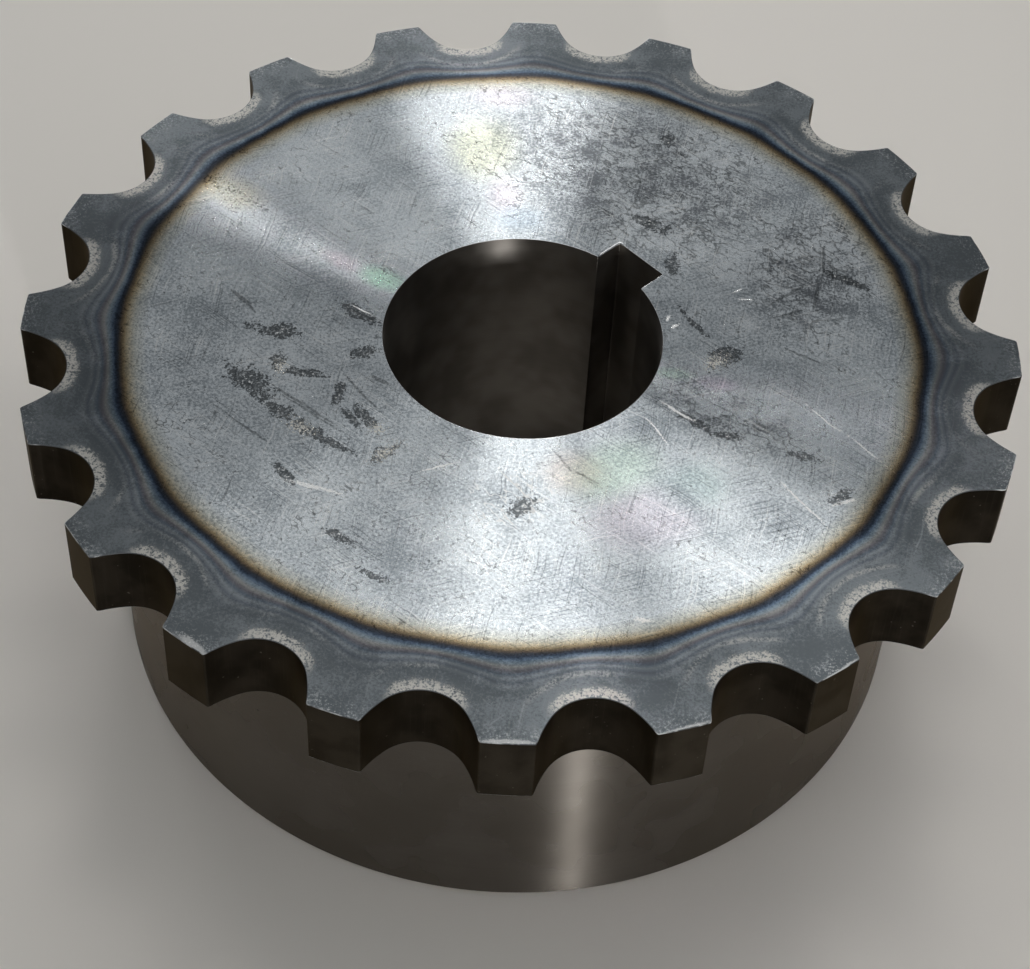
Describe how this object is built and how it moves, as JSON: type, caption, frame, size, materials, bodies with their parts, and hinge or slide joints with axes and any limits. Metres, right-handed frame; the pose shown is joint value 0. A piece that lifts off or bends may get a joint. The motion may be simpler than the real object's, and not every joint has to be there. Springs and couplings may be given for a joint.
{
  "type": "chain coupling flange",
  "caption": "Half of a roller chain shaft coupling: a thick hub with a toothed flange flush with one end, a through bore and a square keyway.",
  "frame": {"origin": "on the bore's axis, at the end face of the hub that the part stands on", "axes": "+Z along the bore towards the toothed face, +Y through the keyway and the tooth space in line with it"},
  "size_m": [0.202, 0.202, 0.077],
  "materials": {
    "steel": "turned face, hardened teeth with heat tint"
  },
  "bodies": {
    "root": {"coupling_flange": "steel"}
  },
  "joints": []
}
